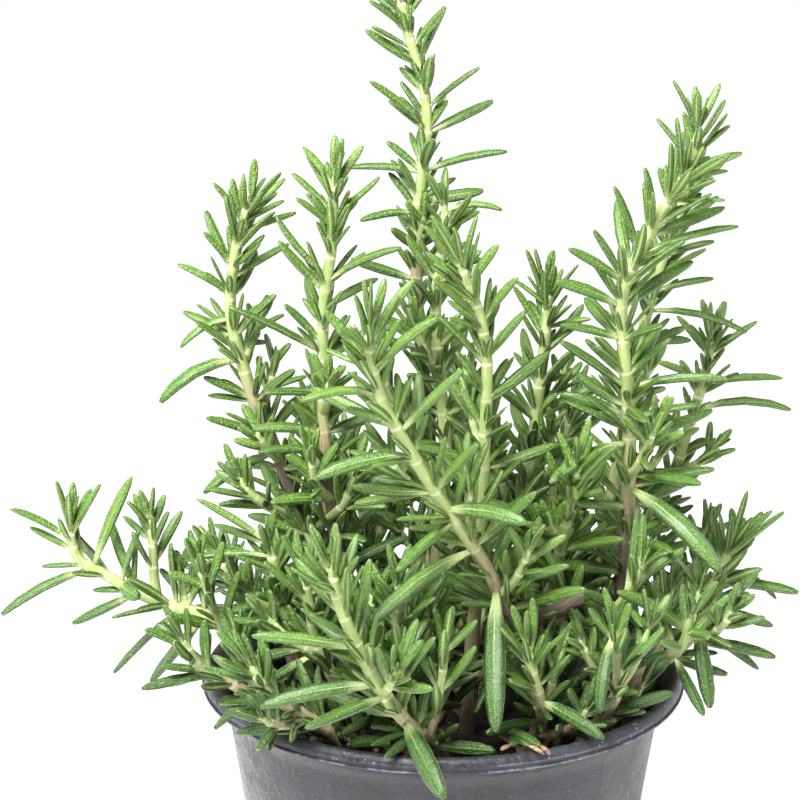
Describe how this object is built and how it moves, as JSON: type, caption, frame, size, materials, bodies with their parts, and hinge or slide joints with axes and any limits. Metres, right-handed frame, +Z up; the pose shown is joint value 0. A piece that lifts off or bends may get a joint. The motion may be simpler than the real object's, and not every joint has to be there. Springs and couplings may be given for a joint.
{
  "type": "potted rosemary plant",
  "caption": "Rosemary plant in a round tapered nursery pot: upright and trailing leafy canes with narrow needle leaves standing in dark soil.",
  "frame": {"origin": "centre of the pot's flat base, on the surface that it stands on", "axes": "+Z up; -Y is the front, towards which the bowed cane leans; +X is to the right seen from the front, and the trailing cane reaches out along -X"},
  "size_m": [0.196, 0.1399, 0.2701],
  "materials": {
    "pot_plastic": "semi-matt black-grey recycled plastic with fine scuffs",
    "potting_soil": "dark moist peat with bark fibres",
    "rosemary_leaf": "leathery green needles, satin above, pale and felted below",
    "rosemary_stem": "pale green young stem, tan to grey-brown bark lower down"
  },
  "bodies": {
    "root": {"pot": "pot_plastic", "soil": "potting_soil", "cane_back_tall": "rosemary_leaf", "cane_left_tall": "rosemary_leaf", "cane_left_inner": "rosemary_leaf", "cane_front_bowed": "rosemary_leaf", "cane_centre": "rosemary_leaf", "cane_centre_back": "rosemary_leaf", "cane_right_tall": "rosemary_leaf", "cane_right_back": "rosemary_leaf", "cane_right_inner": "rosemary_leaf", "cane_right_outer": "rosemary_leaf", "cane_right_drooping": "rosemary_leaf", "cane_left_trailing": "rosemary_leaf", "cane_front_low": "rosemary_leaf", "cane_left_low": "rosemary_leaf", "cane_front_right_low": "rosemary_leaf", "cane_right_front_low": "rosemary_leaf", "cane_front_middle": "rosemary_leaf", "cane_front_left": "rosemary_leaf", "cane_front_left_rim": "rosemary_leaf", "cane_left_rim": "rosemary_leaf", "cane_middle_right": "rosemary_leaf", "cane_back_left": "rosemary_leaf", "cane_back_middle": "rosemary_leaf", "cane_back_right": "rosemary_leaf", "cane_back_low": "rosemary_leaf", "cane_left_back_low": "rosemary_leaf", "cane_right_back_low": "rosemary_leaf"}
  },
  "joints": []
}
